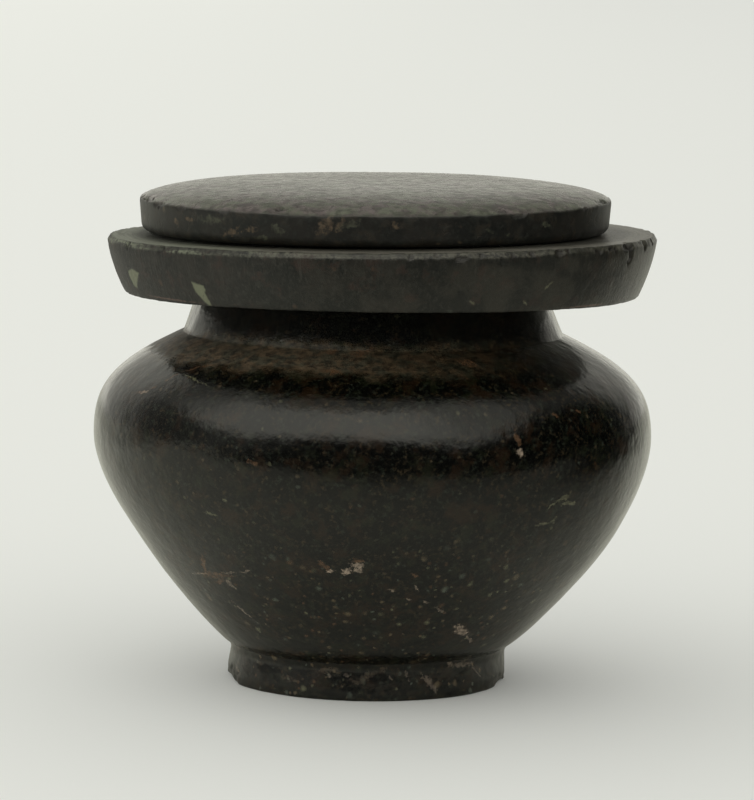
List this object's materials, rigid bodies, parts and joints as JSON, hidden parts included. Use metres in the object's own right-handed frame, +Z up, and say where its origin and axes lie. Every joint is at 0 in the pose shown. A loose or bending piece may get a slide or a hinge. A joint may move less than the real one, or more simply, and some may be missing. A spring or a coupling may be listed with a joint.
{
  "type": "kohl jar",
  "caption": "Squat polished stone jar on a low foot, with a drilled well for eye paint, a separate flared rim cemented on the neck and a loose domed lid.",
  "frame": {"origin": "centre of the foot's flat underside", "axes": "+Z up along the jar's turning axis; the picture looks along +Y, with +X to its right"},
  "size_m": [0.0603, 0.06, 0.0542],
  "materials": {
    "polished_stone": "high polish, dark green-grey with pale and rust flecks",
    "rim_stone": "satin, worn edges, fine tool marks",
    "lid_stone": "matt and dusty, chipped edge",
    "gum": "dull dark resin",
    "kohl": "powdery black"
  },
  "bodies": {
    "jar": {"jar_body": "polished_stone", "rim_bedding": "gum", "rim_collar": "rim_stone", "kohl_cake": "kohl"},
    "loose_lid": {"lid": "lid_stone"}
  },
  "joints": [
    {"name": "lid_lift", "type": "slide", "parent": "jar", "child": "loose_lid", "axis": [0, 0, 1], "range_m": [0, 0.04]}
  ]
}
